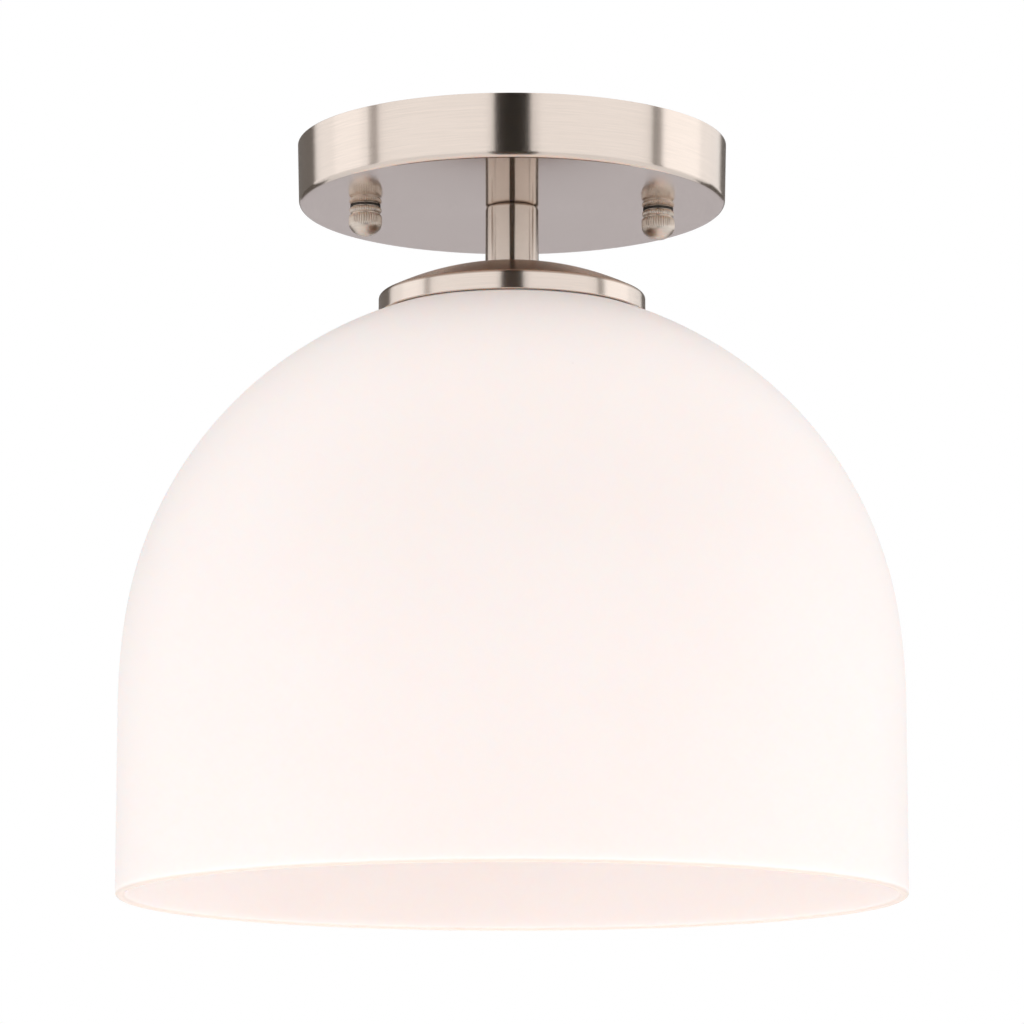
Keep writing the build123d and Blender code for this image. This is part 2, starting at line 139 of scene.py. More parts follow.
class Paint:
    """A material, or the world if one is given, and the one way its nodes are made."""

    def __init__(self, name, world=None):
        self.material = world or bpy.data.materials.new(name)
        self.material.use_nodes = True
        self.tree = self.material.node_tree
        self.tree.nodes.clear()

    def put(self, socket, value):
        if isinstance(value, Wire):
            self.tree.links.new(value.socket, socket)
        elif socket.type == "RGBA" and len(value) == 3:
            socket.default_value = (*value, 1.0)
        else:
            socket.default_value = value

    def node(self, kind, settings=None, inputs=None, output=0):
        """A node: its settings first, a ramp's stops among them, then its sockets."""
        made = self.tree.nodes.new(kind)
        for key, value in (settings or {}).items():
            if key == "stops":
                self.set_stops(made.color_ramp, value)
            else:
                setattr(made, key, value)
        for key, value in (inputs or {}).items():
            self.put(made.inputs[key], value)
        return Wire(self, made.outputs[output]) if made.outputs else None

    @staticmethod
    def set_stops(ramp, stops):
        while len(ramp.elements) < len(stops):
            ramp.elements.new(1.0)
        for element, (place, colour) in zip(ramp.elements, stops):
            element.position = place
            element.color = (*colour, 1.0)

    def place(self):
        """Where a point is on its own piece, in metres."""
        return self.node("ShaderNodeTexCoord", output="Object")

    def vector(self, operation, a, b):
        return self.node("ShaderNodeVectorMath", {"operation": operation}, {0: a, 1: b})

    def shift(self, vector, by):
        return self.vector("SUBTRACT", vector, by)

    def stretch(self, vector, by):
        return self.vector("MULTIPLY", vector, by)

    def split(self, vector):
        return [self.node("ShaderNodeSeparateXYZ", None, {0: vector}, n) for n in range(3)]

    def join(self, x, y, z):
        return self.node("ShaderNodeCombineXYZ", None, {0: x, 1: y, 2: z})

    def noise(self, vector, scale, detail=2.0, rough=0.5, w=None):
        settings = {"noise_dimensions": "3D" if w is None else "4D"}
        inputs = {"Vector": vector, "Scale": scale, "Detail": detail, "Roughness": rough}
        if w is not None:
            inputs["W"] = w
        return self.node("ShaderNodeTexNoise", settings, inputs, "Fac")

    def cells(self, vector, scale):
        """How far a point is from the nearest of many scattered points."""
        return self.node("ShaderNodeTexVoronoi", None, {"Vector": vector, "Scale": scale}, "Distance")

    def band(self, value, low, high, start=0.0, end=1.0):
        """The value's way from low to high, as a smooth way from start to end."""
        inputs = {"Value": value, "From Min": low, "From Max": high, "To Min": start, "To Max": end}
        return self.node("ShaderNodeMapRange", {"interpolation_type": "SMOOTHSTEP"}, inputs)

    def mix(self, factor, a, b):
        """Colour a where the factor is 0 and colour b where it is 1."""
        return self.node("ShaderNodeMix", {"data_type": "RGBA"}, {0: factor, 6: a, 7: b}, 2)

    def bump(self, height, depth, strength=1.0):
        inputs = {"Height": height, "Distance": depth, "Strength": strength}
        return self.node("ShaderNodeBump", None, inputs)

    def finish(self, **sockets):
        """Ends the material in the main shader; _ in a name stands for a space."""
        inputs = {key.replace("_", " "): value for key, value in sockets.items()}
        shader = self.node("ShaderNodeBsdfPrincipled", None, inputs)
        self.node("ShaderNodeOutputMaterial", None, {"Surface": shader})
        return self.material


def grain(paint, centre, length_share, fine):
    """Lines left by a belt on a piece that turns about a vertical axis, as a value round 0.5.

    length_share is the radius over a line's length, and fine the lines in a metre across them.
    """
    x, y, z = paint.split(paint.shift(paint.place(), (centre, 0.0, 0.0)))
    reach = (x * x + y * y) ** 0.5 + 1e-6
    turn = paint.join(x / reach * length_share, y / reach * length_share, z * fine)
    return paint.noise(turn, 1.0, 3.0, 0.6, w=reach * fine)


nickel_light = (0.868, 0.760, 0.684)
nickel_dark = (0.800, 0.700, 0.628)
# Dark brown for the painted reflection of the canopy's underside on the holder's dome.
painted_reflection_brown = (0.400, 0.300, 0.240)
line_depth = 0.006 * mm         # of a belt's or a tool's lines in nickel


def brushed_nickel(name, length_share, rough, fine, flat_rough=None, flat_radius=0.0,
                   painted_reflection_above=None, shade=1.0):
    """Satin nickel with a belt's grain.

    flat_rough is for the face inside flat_radius, the metal above the given height is painted dark
    brown as a painted reflection of the canopy's underside, and shade darkens the whole as a painted
    shade.
    """
    paint = Paint(name)
    lines = grain(paint, 0.0, length_share, fine)
    cloud = paint.noise(paint.place(), 38.0, 3.0)
    speck = paint.cells(paint.place(), 260.0) < 0.05
    tone = paint.band(lines * 0.75 + cloud * 0.25, 0.30, 0.70)
    base = rough
    if flat_rough is not None:
        x, y, _ = paint.split(paint.place())
        outside = paint.band((x * x + y * y) ** 0.5, flat_radius - 0.4 * mm, flat_radius)
        base = outside * (rough - flat_rough) + flat_rough
    colour = paint.mix(speck * 0.35, paint.mix(tone, nickel_dark, nickel_light), nickel_dark)
    # Painted reflection: above the given height the nickel is mixed towards dark brown, standing for
    # the canopy's underside mirrored in the dome.
    if painted_reflection_above is not None:
        _, _, z = paint.split(paint.place())
        painted_reflection_mask = paint.band(z, painted_reflection_above - 0.4 * mm, painted_reflection_above + 0.2 * mm)
        colour = paint.mix(painted_reflection_mask * (0.86 + cloud * 0.14), colour, painted_reflection_brown)
    # Painted shade: shade darkens the whole colour towards black.
    if shade < 1.0:
        colour = paint.mix(shade, (0.0, 0.0, 0.0), colour)
    return paint.finish(
        Base_Color=colour,
        Metallic=1.0,
        Roughness=base + (lines - 0.5) * 0.04 + (cloud - 0.5) * 0.03,
        Anisotropic=1.0,
        Anisotropic_Rotation=0.25,
        Normal=paint.bump(lines, line_depth, 0.5),
    )


def bright_nickel(name, centre):
    """Turned and polished nickel of the cap nuts, with fine tool lines."""
    paint = Paint(name)
    lines = grain(paint, centre, 1.2, 5200.0)
    stain = paint.noise(paint.place(), 420.0, 3.0)
    tone = paint.band(lines * 0.6 + stain * 0.4, 0.3, 0.7)
    return paint.finish(
        Base_Color=paint.mix(tone, (0.700, 0.610, 0.530), (0.830, 0.740, 0.660)),
        Metallic=1.0,
        Roughness=0.36 + (lines - 0.5) * 0.08 + (stain - 0.5) * 0.05,
        Normal=paint.bump(lines, line_depth, 0.5),
    )


def zinc_plate(name):
    """Bright zinc on pressed steel: faint blue and straw clouds and fine rolling lines."""
    paint = Paint(name)
    place = paint.place()
    cloud = paint.noise(place, 70.0, 4.0, 0.6)
    rolled = paint.noise(paint.stretch(place, (180.0, 1800.0, 1800.0)), 1.0, 3.0)
    colour = paint.mix(paint.band(cloud, 0.35, 0.65), (0.60, 0.63, 0.67), (0.72, 0.70, 0.62))
    return paint.finish(
        Base_Color=colour,
        Metallic=1.0,
        Roughness=0.32 + (rolled - 0.5) * 0.22 + (cloud - 0.5) * 0.2,
        Normal=paint.bump(rolled, 0.02 * mm, 0.35),
    )


def opal_glass(rim):
    """Opal glass with an acid-etched skin: light wanders through it, warm, and some comes out."""
    paint = Paint("opal_glass")
    place = paint.place()
    _, _, z = paint.split(place)
    cloud = paint.noise(place, 9.0, 2.0)
    milk = paint.mix(paint.band(cloud, 0.3, 0.7), (0.884, 0.822, 0.806), (0.898, 0.838, 0.826))
    # Near the rim the glass is painted greyer and browner: partly the ground rim's own grey, partly a
    # painted shade that keeps the downward-facing rim from glowing under the underlight.
    ground = paint.band(z, rim + 0.2 * mm, rim + 1.3 * mm, 1.0, 0.0)
    seed = paint.cells(place, 34.0) < 0.012
    colour = paint.mix(ground, milk, (0.66, 0.57, 0.52))
    etch = paint.noise(place, 2600.0, 3.0, 0.65)
    return paint.finish(
        Base_Color=paint.mix(seed * 0.30, colour, (0.70, 0.63, 0.59)),
        Roughness=0.52 + (etch - 0.5) * 0.12 - ground * 0.12,
        Specular_IOR_Level=0.35,
        Subsurface_Weight=1.0,
        Subsurface_Radius=(4.6, 3.6, 3.1),
        Subsurface_Scale=1.0 * mm,
        Normal=paint.bump(etch, 0.01 * mm, 0.35),
    )


def phenolic(name):
    """Pressed black phenolic: filler flecks and a dull shine."""
    paint = Paint(name)
    place = paint.place()
    fleck = paint.band(paint.noise(place, 1500.0, 3.0, 0.7), 0.62, 0.70)
    flow = paint.noise(place, 60.0, 3.0)
    return paint.finish(
        Base_Color=paint.mix(fleck, (0.018, 0.017, 0.017), (0.060, 0.052, 0.046)),
        Roughness=0.36 + (flow - 0.5) * 0.18,
        Normal=paint.bump(flow + fleck * 0.3, 0.03 * mm, 0.4),
    )


def sheet_brass(name):
    """Stamped brass with drawing lines and a touch of tarnish."""
    paint = Paint(name)
    place = paint.place()
    drawn = paint.noise(paint.stretch(place, (1400.0, 1400.0, 160.0)), 1.0, 3.0)
    tarnish = paint.band(paint.noise(place, 160.0, 4.0, 0.6), 0.50, 0.72)
    return paint.finish(
        Base_Color=paint.mix(tarnish * 0.6, (0.83, 0.62, 0.28), (0.50, 0.34, 0.16)),
        Metallic=1.0,
        Roughness=0.24 + (drawn - 0.5) * 0.16 + tarnish * 0.14,
        Normal=paint.bump(drawn, 0.015 * mm, 0.4),
    )


def soft_sheet(name, light, dark, rough):
    """Pressed fibre or rubber, cut from a sheet: a mottled colour and a fine nap."""
    paint = Paint(name)
    place = paint.place()
    mottle = paint.noise(place, 260.0, 4.0, 0.6)
    nap = paint.noise(place, 3200.0, 3.0, 0.6)
    return paint.finish(
        Base_Color=paint.mix(paint.band(mottle, 0.35, 0.65), dark, light),
        Roughness=rough + (nap - 0.5) * 0.12,
        Normal=paint.bump(nap + mottle * 0.5, 0.04 * mm, 0.5),
    )


def rolled_aluminium():
    """The bulb's thin rolled cap: bright crests, duller flanks."""
    paint = Paint("bulb_aluminium")
    place = paint.place()
    rolled = paint.noise(paint.stretch(place, (300.0, 300.0, 2400.0)), 1.0, 3.0)
    dull = paint.noise(place, 220.0, 3.0)
    return paint.finish(
        Base_Color=paint.mix(paint.band(dull, 0.3, 0.7), (0.66, 0.66, 0.67), (0.80, 0.80, 0.80)),
        Metallic=1.0,
        Roughness=0.27 + (rolled - 0.5) * 0.16 + (dull - 0.5) * 0.12,
        Normal=paint.bump(rolled, 0.02 * mm, 0.4),
    )


def frosted_bulb():
    """Soft white bulb: powder on the inside shows through smooth clear glass."""
    paint = Paint("frosted_bulb")
    place = paint.place()
    powder = paint.noise(place, 900.0, 3.0, 0.65)
    drift = paint.noise(place, 26.0, 2.0)
    return paint.finish(
        Base_Color=paint.mix(paint.band(drift, 0.3, 0.7), (0.86, 0.855, 0.84), (0.91, 0.905, 0.89)),
        Roughness=0.55 + (powder - 0.5) * 0.1,
        Coat_Weight=0.6,
        Coat_Roughness=0.06,
        Normal=paint.bump(powder, 0.01 * mm, 0.3),
    )


def pressed_black_glass():
    """The dark glass round the bulb's contact, with faint violet swirls."""
    paint = Paint("pressed_black_glass")
    place = paint.place()
    swirl = paint.noise(place, 240.0, 4.0, 0.6)
    return paint.finish(
        Base_Color=paint.mix(
            paint.band(swirl, 0.35, 0.65), (0.012, 0.012, 0.018), (0.040, 0.035, 0.060)
        ),
        Roughness=0.12 + (swirl - 0.5) * 0.12,
        Normal=paint.bump(swirl, 0.05 * mm, 0.3),
    )


def solder_tip():
    """A lump of solder: dull grey, uneven, brighter where it has been rubbed."""
    paint = Paint("solder_tip")
    place = paint.place()
    lump = paint.noise(place, 520.0, 4.0, 0.55)
    return paint.finish(
        Base_Color=paint.mix(paint.band(lump, 0.35, 0.65), (0.42, 0.42, 0.41), (0.66, 0.66, 0.64)),
        Metallic=1.0,
        Roughness=0.42 + (lump - 0.5) * 0.3,
        Normal=paint.bump(lump, 0.12 * mm, 0.6),
    )


def green_zinc():
    """The ground screw's green dye over zinc, worn towards the metal."""
    paint = Paint("green_zinc")
    place = paint.place()
    worn = paint.band(paint.noise(place, 700.0, 4.0, 0.6), 0.58, 0.70)
    return paint.finish(
        Base_Color=paint.mix(worn * 0.5, (0.035, 0.300, 0.110), (0.40, 0.52, 0.42)),
        Metallic=0.75,
        Roughness=0.34 + worn * 0.12,
        Normal=paint.bump(worn, 0.01 * mm, 0.5),
    )


# --- making pieces ------------------------------------------------------------------------------
def part_way(value):
    """The value, held between 0 and 1."""
    return min(1.0, max(0.0, value))


def rounded(corners, steps=6):
    """An outline from (radius, height, corner radius) corners, each turned on an arc.

    A point close beside each arc keeps the flats next to it flat when they are shaded.
    """
    points = []
    for n, (r, z, size) in enumerate(corners):
        here = Vector((r, z))
        if size <= 0:
            points.append((r, z))
            continue
        before = Vector(corners[n - 1][:2]) - here
        after = Vector(corners[(n + 1) % len(corners)][:2]) - here
        half = before.angle(after) / 2
        reach = size / tan(half)
        centre = here + (before.normalized() + after.normalized()).normalized() * size / sin(half)
        start = here + before.normalized() * reach - centre
        end = here + after.normalized() * reach - centre
        turn = start.angle_signed(end)
        first = atan2(start.y, start.x)
        lead = reach + size * 0.1
        points.append(tuple(here + before.normalized() * lead))
        for step in range(steps + 1):
            angle = first - turn * step / steps
            points.append((centre.x + size * cos(angle), centre.y + size * sin(angle)))
        points.append(tuple(here + after.normalized() * lead))
    return points


def divided(outline, spacing):
    """The same outline with its long runs cut into short ones, for a thread or a knurl."""
    points = []
    for a, b in zip(outline, outline[1:] + outline[:1]):
        parts = max(1, round(hypot(b[0] - a[0], b[1] - a[1]) / spacing))
        points += [
            (a[0] + (b[0] - a[0]) * n / parts, a[1] + (b[1] - a[1]) * n / parts) for n in range(parts)
        ]
    return points


def turned(outline, sides, centre=0.0, shape=None):
    """Vertices and faces of a closed outline turned about a vertical axis at x = centre.

    shape, if given, says how far out a point stands at an angle, a radius and a height.
    """
    vertices, faces = [], []
    for side in range(sides):
        angle = tau * side / sides
        for r, z in outline:
            out = shape(angle, r, z) if shape else r
            vertices.append((centre + out * cos(angle), out * sin(angle), z))
    count = len(outline)
    for side in range(sides):
        here, there = side * count, (side + 1) % sides * count
        for n in range(count):
            m = (n + 1) % count
            faces.append((here + n, here + m, there + m, there + n))
    return vertices, faces


def piece(name, parts, material, body, node=None, sharp=35.0):
    """An object from (vertices, faces) parts that rides on a body and may stand for a CAD node."""
    vertices, faces = [], []
    for some, more in parts:
        faces += [tuple(n + len(vertices) for n in face) for face in more]
        vertices += some
    mesh = bpy.data.meshes.new(name)
    mesh.from_pydata(vertices, [], faces)
    mesh.validate()
    return settle(name, mesh, material, body, node, sharp)


def settle(name, mesh, material, body, node, sharp):
    """Closes a mesh's poles, shades it, gives it its finish and body, and hides the CAD node it
    stands for.
    """
    tidy_mesh(mesh)
    mesh.shade_smooth()
    mesh.set_sharp_from_angle(angle=radians(sharp))
    mesh.materials.append(material)
    made = bpy.data.objects.new(name, mesh)
    bpy.context.scene.collection.objects.link(made)
    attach(made, body)
    if node:
        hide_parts(node)
    return made


def tidy_mesh(mesh):
    """Merges the points that meet on an axis and turns the faces outwards."""
    work = bmesh.new()
    work.from_mesh(mesh)
    bmesh.ops.remove_doubles(work, verts=work.verts, dist=0.002 * mm)
    bmesh.ops.dissolve_degenerate(work, edges=work.edges, dist=0.002 * mm)
    bmesh.ops.recalc_face_normals(work, faces=work.faces)
    work.to_mesh(mesh)
    work.free()


def ring_of(radius, count=48, centre=(0.0, 0.0)):
    return [(centre[0] + radius * cos(tau * n / count), centre[1] + radius * sin(tau * n / count))
            for n in range(count)]


def slot_loop(length, width, centre=(0.0, 0.0), upright=False, steps=16):
    """A slot's outline: two half circles and the straights between them."""
    half = (length - width) / 2
    points = []
    for end in (1, -1):
        for step in range(steps + 1):
            angle = pi * step / steps - pi / 2 + (0 if end > 0 else pi)
            points.append((end * half + width / 2 * cos(angle), width / 2 * sin(angle)))
    if upright:
        points = [(-y, x) for x, y in points]
    return [(x + centre[0], y + centre[1]) for x, y in points]


def plate(name, outline, holes, bottom, top, bevel):
    """The mesh of a flat plate with holes and softened edges."""
    curve = bpy.data.curves.new(name, "CURVE")
    curve.dimensions = "2D"
    curve.fill_mode = "BOTH"
    for loop in [outline] + holes:
        spline = curve.splines.new("POLY")
        spline.points.add(len(loop) - 1)
        for point, (x, y) in zip(spline.points, loop):
            point.co = (x, y, 0.0, 1.0)
        spline.use_cyclic_u = True
    curve.extrude = (top - bottom) / 2 - bevel
    curve.bevel_depth = bevel
    curve.bevel_resolution = 2
    curve.offset = -bevel
    former = bpy.data.objects.new(name, curve)
    mesh = bpy.data.meshes.new_from_object(former)
    mesh.transform(Matrix.Translation((0.0, 0.0, (top + bottom) / 2)))
    mesh.materials.clear()
    bpy.data.objects.remove(former)
    bpy.data.curves.remove(curve)
    return mesh


def parts_of(mesh):
    """A mesh as (vertices, faces), to join with turned parts."""
    return [tuple(v.co) for v in mesh.vertices], [tuple(p.vertices) for p in mesh.polygons]


def winding(angle, z, pitch):
    """A right-hand screw's wave: 0 on its crests and 1 in its troughs."""
    return 0.5 - 0.5 * cos(tau * (z / pitch - angle / tau))


def thread(crest, pitch, depth, top, bottom, sharp=1.0):
    """A right-hand thread between two heights, for the faces that lie at the crest's radius."""

    def shape(angle, r, z):
        if abs(r - crest) > 0.01 * mm:
            return r
        fade = part_way((top - z) / pitch) * part_way((z - bottom) / pitch)
        return r - depth * fade * winding(angle, z, pitch) ** sharp

    return shape


def hexagon(flats):
    """A hexagon's sides, cut into a turned blank."""

    def shape(angle, r, z):
        side = (angle + radians(30)) % radians(60) - radians(30)
        return min(r, flats / 2 / cos(side))

    return shape


nut_play = 0.02 * mm            # between a nut's bore and its thread


def nut_parts(flats, bore, bottom, top, centre=0.0, sides=96):
    """A hexagon nut with its corners turned off above and below."""
    corner = flats / 2 / cos(radians(30))
    slope = (corner - flats / 2) * 0.6
    outline = divided(
        [
            (bore, top),
            (flats / 2 - 0.1 * mm, top),
            (corner, top - slope),
            (corner, bottom + slope),
            (flats / 2 - 0.1 * mm, bottom),
            (bore, bottom),
        ],
        0.5 * mm,
    )

    hexagon_side = hexagon(flats)

    def shape(angle, r, z):
        return hexagon_side(angle, r, z) if r > bore + 0.05 * mm else r

    return turned(outline, sides, centre, shape)


# --- canopy -------------------------------------------------------------------------------------
canopy_radius = radius_of("canopy")
canopy_underside = bottom_of("canopy")
canopy_foot = canopy_radius - 0.5 * mm
canopy_wall = 1.0 * mm
canopy_edge = 1.8 * mm          # radius of its lower edge
pipe_hole = 5.25 * mm


def make_canopy():
    inside = canopy_foot - canopy_wall
    floor = canopy_underside + canopy_wall
    outline = rounded(
        [
            (canopy_radius, 0.0, 0.15 * mm),
            (canopy_foot, canopy_underside, canopy_edge),
            (pipe_hole, canopy_underside, 0.1 * mm),
            (pipe_hole, floor, 0.1 * mm),
            (inside, floor, 0.8 * mm),
            (canopy_radius - canopy_wall, 0.0, 0.15 * mm),
        ],
        8,
    )
    finish = brushed_nickel(
        "canopy_nickel", 4.5, 0.21, 3600.0, flat_rough=0.10, flat_radius=canopy_foot - 0.9 * mm
    )
    piece("canopy_pan", [turned(outline, 256)], finish, "fixture", "canopy")


# --- cap nuts -----------------------------------------------------------------------------------
nut_top = top_of("left_cap_nut")
nut_end = bottom_of("left_cap_nut")
nut_radius = radius_of("left_cap_nut")
stud_x = middle_of("right_cap_nut")
stud_radius = 2.05 * mm
nut_neck = 4.65 * mm
nut_bore = 7.0 * mm
nut_bead = (0.25 * mm, 2.15 * mm)       # down from the top face, like all these
nut_barrel = (2.6 * mm, 5.3 * mm)
nut_taper = 1.2 * mm                    # height of the barrel's rounded top
knurls = 40
knurl_depth = 0.26 * mm
knurl_run_out = 1.2 * mm                # the way in which a groove fades into the dome


def cap_nut_outline():
    """Half section: base, knurled bead, groove, knurled barrel and domed end, then the bore."""
    outline = [(stud_radius, nut_top), (nut_neck, nut_top)]
    start, end = nut_bead
    bulge = nut_radius - 0.15 * mm - nut_neck
    outline += [
        (nut_neck + bulge * sin(pi * n / 10) ** 0.6, nut_top - start - (end - start) * n / 10)
        for n in range(11)
    ]
    start, end = nut_barrel
    outline += [
        (nut_neck + (nut_radius - nut_neck) * sin(pi / 2 * n / 5),
         nut_top - start - nut_taper * (1 - cos(pi / 2 * n / 5)))
        for n in range(6)
    ]
    rise = nut_top - end - nut_end
    outline += [
        (nut_radius * cos(pi / 2 * n / 16), nut_top - end - rise * sin(pi / 2 * n / 16))
        for n in range(16)
    ]
    outline += [(0.0, nut_end), (0.0, nut_top - nut_bore), (stud_radius, nut_top - nut_bore)]
    return outline


def knurled(angle, r, z):
    """Narrow V grooves down the bead and the barrel, fading out into the dome."""
    deep = part_way((r - nut_neck - 0.1 * mm) / (0.4 * mm))
    fade = part_way((z - nut_top + nut_barrel[1] + 1.4 * mm) / knurl_run_out)
    wave = abs(((angle / tau * knurls) % 1.0) - 0.5) * 2
    return r - knurl_depth * deep * fade * max(0.0, 1 - 1.6 * wave)


def make_cap_nut(side, x):
    outline = divided(cap_nut_outline(), 0.4 * mm)
    shell = turned(outline, knurls * 8, x, knurled)
    finish = bright_nickel(f"{side}_nut_nickel", x)
    node = f"{side}_cap_nut"
    piece(f"{side}_nut", [shell], finish, f"{side}_nut", node, 28.0)


# --- crossbar -----------------------------------------------------------------------------------
strap_length = 112.0 * mm
strap_width = 19.0 * mm
strap_bevel = 0.18 * mm


def make_crossbar(zinc):
    """Two straps, the upper one slotted for the ceiling box, and the eyelet they turn on."""
    eyelet = 6.55 * mm
    low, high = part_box("box_strap")
    slot_centre = 39.69 * mm
    slots = [slot_loop(14.125 * mm, 4.6 * mm, (0.0, s * slot_centre), True) for s in (1, -1)]
    edge = slot_loop(strap_length, strap_width, (0, 0), True)
    mesh = plate("box_strap_plate", edge, slots + [ring_of(eyelet)], low[2], high[2], strap_bevel)
    settle("box_strap_plate", mesh, zinc, "ceiling_bracket", "box_strap", 35.0)

    top = top_of("fixture_strap")
    under = top - 1.6 * mm
    ground_x = middle_of("ground_screw")
    holes = [ring_of(eyelet), ring_of(2.45 * mm, 32, (ground_x, 0.0))]
    holes += [ring_of(2.1 * mm, 32, (s * stud_x, 0.0)) for s in (1, -1)]
    edge = slot_loop(strap_length, strap_width)
    mesh = plate("fixture_strap_plate", edge, holes, under, top, strap_bevel)
    collars = []
    for s in (1, -1):
        outline = rounded(
            [
                (2.1 * mm, under + 0.3 * mm, 0),
                (3.9 * mm, under + 0.3 * mm, 0),
                (3.9 * mm, under, 0),
                (3.4 * mm, under, 0.4 * mm),
                (3.4 * mm, bottom_of("fixture_strap"), 0.4 * mm),
                (2.1 * mm, bottom_of("fixture_strap"), 0.2 * mm),
            ]
        )
        collars.append(turned(outline, 48, s * stud_x))
    parts = [parts_of(mesh)] + collars
    piece("fixture_strap_plate", parts, zinc, "fixture", "fixture_strap")

    low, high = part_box("swivel_eyelet")
    lip = radius_of("swivel_eyelet")
    bore = 5.3 * mm
    neck = 6.5 * mm
    outline = rounded(
        [
            (bore, high[2], 0.5 * mm),
            (lip, high[2], 0.25 * mm),
            (neck, high[2] - 1.2 * mm, 0.3 * mm),
            (neck, low[2] + 0.9 * mm, 0.2 * mm),
            (lip, low[2] + 0.9 * mm, 0.25 * mm),
            (lip, low[2], 0.4 * mm),
            (bore, low[2], 0.3 * mm),
        ]
    )
    piece("eyelet", [turned(outline, 96)], zinc, "ceiling_bracket", "swivel_eyelet")


def make_studs(zinc):
    low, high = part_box("canopy_studs")
    outline = divided(
        [
            (0.0, high[2]),
            (stud_radius - 0.4 * mm, high[2]),
            (stud_radius, high[2] - 0.4 * mm),
            (stud_radius, low[2] + 0.4 * mm),
            (stud_radius - 0.4 * mm, low[2]),
            (0.0, low[2]),
        ],
        0.1 * mm,
    )
    cut = thread(stud_radius, 0.794 * mm, 0.42 * mm, high[2], low[2])
    rods = [turned(outline, 32, s * stud_x, cut) for s in (1, -1)]
    piece("studs", rods, zinc, "fixture", "canopy_studs", 50.0)
    low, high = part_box("stud_lock_nuts")
    bore = stud_radius + nut_play
    nuts = [nut_parts(8.7 * mm, bore, low[2], high[2], s * stud_x) for s in (1, -1)]
    piece("stud_nuts", nuts, zinc, "fixture", "stud_lock_nuts")


def make_ground_screw():
    """A hexagon washer-head screw, green, slotted underneath."""
    low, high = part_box("ground_screw")
    head_top = top_of("ground_cup_washer") - 1.0 * mm
    shank = 2.4 * mm
    flats = 7.6 * mm
    corner = flats / 2 / cos(radians(30))
    slot_half = 0.6 * mm
    slot_depth = 1.3 * mm
    outline = divided(
        [
            (0.0, high[2]),
            (shank - 0.4 * mm, high[2]),
            (shank, high[2] - 0.4 * mm),
            (shank, head_top),
            (corner, head_top),
            (corner, low[2] + 0.5 * mm),
            (flats / 2 - 0.2 * mm, low[2]),
            (0.0, low[2]),
        ],
        0.15 * mm,
    )
    hexagon_side = hexagon(flats)
    wind = thread(shank, 0.79 * mm, 0.35 * mm, high[2], head_top)

    def shape(angle, r, z):
        return hexagon_side(angle, r, z) if r > shank + 0.05 * mm else wind(angle, r, z)

    vertices, faces = turned(outline, 48, middle_of("ground_screw"), shape)
    sunk = []
    for vx, vy, vz in vertices:
        in_slot = abs(vy) < slot_half and vz < low[2] + 0.3 * mm
        sunk.append((vx, vy, vz + slot_depth if in_slot else vz))
    piece("ground_screw_head", [(sunk, faces)], green_zinc(), "fixture",
          "ground_screw", 30.0)


# --- nipple and its nuts ------------------------------------------------------------------------
pipe_radius = 5.15 * mm
pipe_bore = 3.6 * mm
pipe_pitch = 25.4 / 27 * mm


def make_nipple(zinc):
    low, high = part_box("nipple")
    outline = divided(
        [
            (pipe_bore, high[2]),
            (pipe_radius - 0.5 * mm, high[2]),
            (pipe_radius, high[2] - 0.5 * mm),
            (pipe_radius, low[2] + 0.5 * mm),
            (pipe_radius - 0.5 * mm, low[2]),
            (pipe_bore, low[2]),
        ],
        0.12 * mm,
    )
    cut = thread(pipe_radius, pipe_pitch, 0.5 * mm, high[2], low[2])
    piece("nipple_pipe", [turned(outline, 64, 0.0, cut)], zinc, "fixture",
          "nipple", 50.0)
    for node in ("canopy_lock_nut", "holder_lock_nut"):
        low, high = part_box(node)
        shell = nut_parts(14.3 * mm, pipe_radius + nut_play, low[2], high[2])
        piece(f"{node}_hex", [shell], zinc, "fixture", node)


def make_stem():
    radius = radius_of("stem")
    low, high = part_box("stem")
    outline = rounded(
        [
            (pipe_hole, high[2], 0.2 * mm),
            (radius, high[2], 1.1 * mm),
            (radius, low[2], 1.1 * mm),
            (pipe_hole, low[2], 0.2 * mm),
        ],
        8,
    )
    # shade=0.88 is a painted shade: the stem's nickel is painted darker than the canopy's for the
    # stem's place under the canopy.
    finish = brushed_nickel("stem_nickel", 1.2, 0.245, 5200.0, shade=0.88)
    piece("stem_tube", [turned(outline, 128)], finish, "fixture", "stem")


# --- shade holder -------------------------------------------------------------------------------
holder_radius = radius_of("shade_holder")
holder_rim = bottom_of("shade_holder")
holder_top = top_of("shade_holder")
holder_dome = 94.0 * mm
holder_seat = 9.6 * mm
holder_wall = 1.2 * mm


def dome_height(radius, dome):
    """How high a dome of that radius, on the holder's own centre, stands at a radius."""
    return holder_top - sqrt(holder_dome**2 - holder_seat**2) + sqrt(dome**2 - radius**2)


